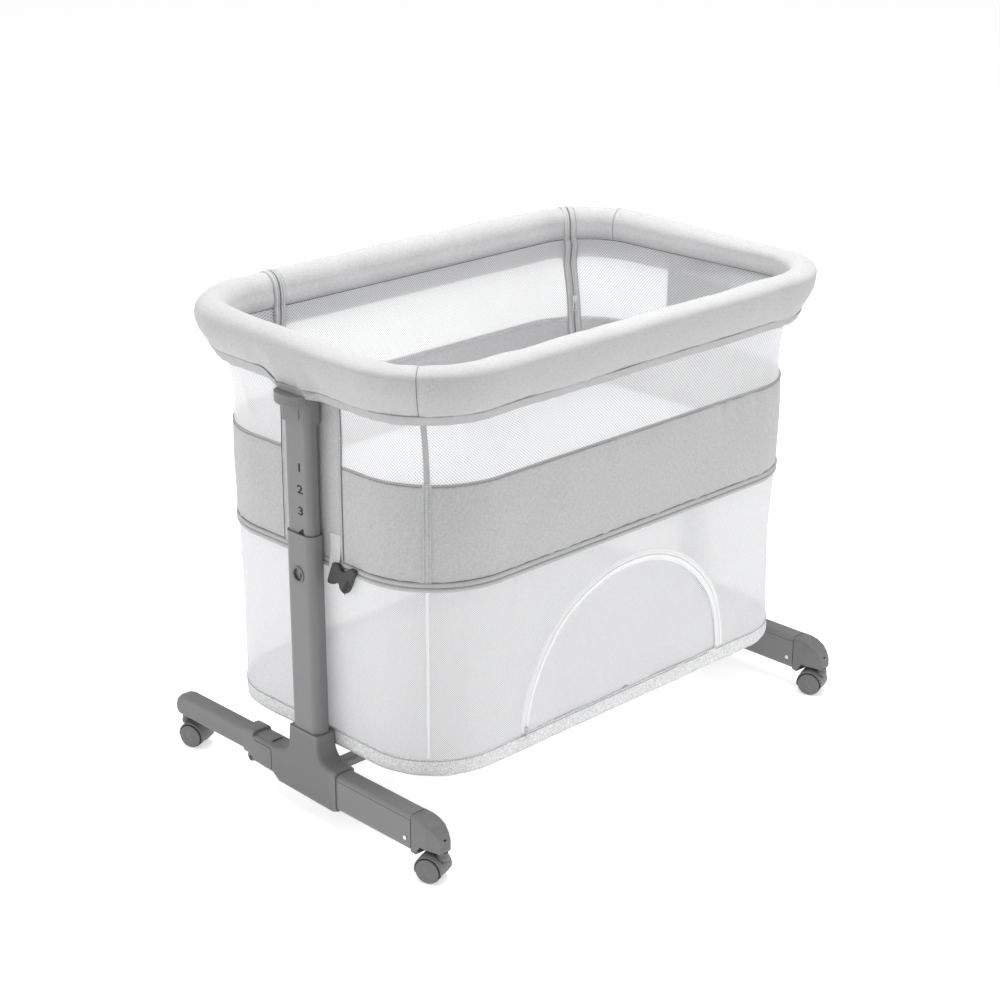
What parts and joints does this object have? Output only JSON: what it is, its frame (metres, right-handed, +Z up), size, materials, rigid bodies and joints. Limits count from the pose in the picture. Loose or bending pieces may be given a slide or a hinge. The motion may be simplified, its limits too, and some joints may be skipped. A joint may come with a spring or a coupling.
{
  "type": "bedside sleeper crib",
  "caption": "Bedside sleeper crib: padded rail over mesh walls on telescopic posts and castered feet, with a zip-down side and a mesh storage basket below.",
  "frame": {"origin": "on the floor under the middle of the crib", "axes": "+X along the crib, +Y towards the drop side (the bed), +Z up"},
  "size_m": [0.9536, 0.6351, 0.764],
  "materials": {
    "frame_coated": "satin powder coat",
    "tube_steel": "satin powder coat",
    "grey_moulding": "fine satin moulded grain",
    "caster_moulding": "satin",
    "bright_steel": "zinc plated",
    "dark_screw": "black oxide",
    "bush_moulding": "satin",
    "rail_cloth": "woven melange cloth over padding",
    "band_cloth": "woven melange cloth",
    "wall_mesh": "warp-knit mesh",
    "storage_net": "fine net",
    "melange_cloth": "grey melange cloth",
    "floor_cloth": "cloth over board",
    "mattress_cloth": "quilted knit",
    "board": "plain",
    "buckle_moulding": "satin",
    "webbing": "woven webbing",
    "zip_metal": "painted"
  },
  "bodies": {
    "base": {"crossbar": "frame_coated", "crossbar_bracket_left": "grey_moulding", "crossbar_bracket_right": "grey_moulding", "end_cap_screws": "bright_steel", "foot_joint_left": "grey_moulding", "foot_joint_right": "grey_moulding", "front_end_cap_left": "grey_moulding", "front_end_cap_right": "grey_moulding", "front_foot_tube_left": "frame_coated", "front_foot_tube_right": "frame_coated", "level_windows": "bush_moulding", "lug_screws": "dark_screw", "outer_post_left": "frame_coated", "outer_post_right": "frame_coated", "post_bushes": "bush_moulding", "rear_arm_left": "grey_moulding", "rear_arm_right": "grey_moulding", "rear_collar_left": "grey_moulding", "rear_collar_right": "grey_moulding"},
    "basket": {"bed_strap": "webbing", "fabric_band": "band_cloth", "inner_post_left": "frame_coated", "inner_post_right": "frame_coated", "mattress": "mattress_cloth", "mattress_board": "board", "mattress_frame": "tube_steel", "mesh_wall": "wall_mesh", "post_head_left": "grey_moulding", "post_head_right": "grey_moulding", "rail_padding": "rail_cloth", "rail_tube": "tube_steel", "storage_floor": "floor_cloth", "storage_hem": "melange_cloth", "storage_mesh": "storage_net", "strap_buckle": "buckle_moulding"},
    "drop_side": {"drop_side_tube": "tube_steel", "drop_side_padding": "rail_cloth", "drop_side_mesh": "wall_mesh", "drop_side_band": "band_cloth"},
    "storage_flap": {"storage_door": "storage_net"},
    "lever_left": {"release_lever_left": "grey_moulding"},
    "lever_right": {"release_lever_right": "grey_moulding"},
    "pin_left": {"lock_pin_left": "bright_steel"},
    "pin_right": {"lock_pin_right": "bright_steel"},
    "zip_left": {"drop_side_slider_left": "zip_metal"},
    "zip_right": {"drop_side_slider_right": "zip_metal"},
    "zip_storage": {"storage_door_slider": "zip_metal"},
    "fork_front_left": {"caster_fork_front_left": "caster_moulding"},
    "wheels_front_left": {"caster_wheels_front_left": "caster_moulding", "caster_axle_front_left": "bright_steel"},
    "fork_front_right": {"caster_fork_front_right": "caster_moulding"},
    "wheels_front_right": {"caster_wheels_front_right": "caster_moulding", "caster_axle_front_right": "bright_steel"},
    "fork_rear_left": {"caster_fork_rear_left": "caster_moulding"},
    "wheels_rear_left": {"caster_wheels_rear_left": "caster_moulding", "caster_axle_rear_left": "bright_steel"},
    "fork_rear_right": {"caster_fork_rear_right": "caster_moulding"},
    "wheels_rear_right": {"caster_wheels_rear_right": "caster_moulding", "caster_axle_rear_right": "bright_steel"}
  },
  "joints": [
    {"name": "height_slide", "type": "slide", "parent": "base", "child": "basket", "axis": [0, 0, 1], "range_m": [-0.1675, 0], "deforming": ["storage_mesh", "storage_hem", "storage_floor"]},
    {"name": "drop_side_fold", "type": "hinge", "parent": "basket", "child": "drop_side", "pos_m": [0, 0.268, 0.52], "axis": [-1, 0, 0], "range_deg": [0, 165]},
    {"name": "storage_door_fold", "type": "hinge", "parent": "basket", "child": "storage_flap", "pos_m": [0, -0.2545, 0.1425], "axis": [1, 0, 0], "range_deg": [0, 115]},
    {"name": "lever_left_lift", "type": "slide", "parent": "basket", "child": "lever_left", "axis": [0, 0, 1], "range_m": [0, 0.008], "stiffness_N_per_m": 300},
    {"name": "pin_left_draw", "type": "slide", "parent": "basket", "child": "pin_left", "axis": [-1, 0, 0], "range_m": [0, 0.003]},
    {"name": "lever_right_lift", "type": "slide", "parent": "basket", "child": "lever_right", "axis": [0, 0, 1], "range_m": [0, 0.008], "stiffness_N_per_m": 300},
    {"name": "pin_right_draw", "type": "slide", "parent": "basket", "child": "pin_right", "axis": [1, 0, 0], "range_m": [0, 0.003]},
    {"name": "zip_left_run", "type": "slide", "parent": "basket", "child": "zip_left", "axis": [0, -0.0977, 0.9952], "range_m": [-0.033, 0.045]},
    {"name": "zip_right_run", "type": "slide", "parent": "basket", "child": "zip_right", "axis": [0, 0, 1], "range_m": [-0.033, 0.045]},
    {"name": "zip_storage_run", "type": "hinge", "parent": "basket", "child": "zip_storage", "pos_m": [-0.007, -0.2519, 0.139], "axis": [0, 0.9994, 0.0348], "range_deg": [0, 175]},
    {"name": "swivel_front_left", "type": "hinge", "parent": "base", "child": "fork_front_left", "pos_m": [-0.441, -0.3, 0.045], "axis": [0, 0, 1], "continuous": true},
    {"name": "roll_front_left", "type": "hinge", "parent": "fork_front_left", "child": "wheels_front_left", "pos_m": [-0.44647, -0.28497, 0.02], "axis": [0.9397, 0.342, 0], "continuous": true},
    {"name": "swivel_front_right", "type": "hinge", "parent": "base", "child": "fork_front_right", "pos_m": [0.441, -0.3, 0.045], "axis": [0, 0, 1], "continuous": true},
    {"name": "roll_front_right", "type": "hinge", "parent": "fork_front_right", "child": "wheels_front_right", "pos_m": [0.43553, -0.28497, 0.02], "axis": [0.9397, 0.342, 0], "continuous": true},
    {"name": "swivel_rear_left", "type": "hinge", "parent": "base", "child": "fork_rear_left", "pos_m": [-0.441, 0.311, 0.045], "axis": [0, 0, 1], "continuous": true},
    {"name": "roll_rear_left", "type": "hinge", "parent": "fork_rear_left", "child": "wheels_rear_left", "pos_m": [-0.43553, 0.29596, 0.02], "axis": [0.9397, 0.342, 0], "continuous": true},
    {"name": "swivel_rear_right", "type": "hinge", "parent": "base", "child": "fork_rear_right", "pos_m": [0.441, 0.311, 0.045], "axis": [0, 0, 1], "continuous": true},
    {"name": "roll_rear_right", "type": "hinge", "parent": "fork_rear_right", "child": "wheels_rear_right", "pos_m": [0.44647, 0.29596, 0.02], "axis": [0.9397, 0.342, 0], "continuous": true}
  ],
  "couplings": [
    {"joint": "pin_left_draw", "follows": "lever_left_lift", "ratio": 0.375},
    {"joint": "pin_right_draw", "follows": "lever_right_lift", "ratio": 0.375}
  ]
}
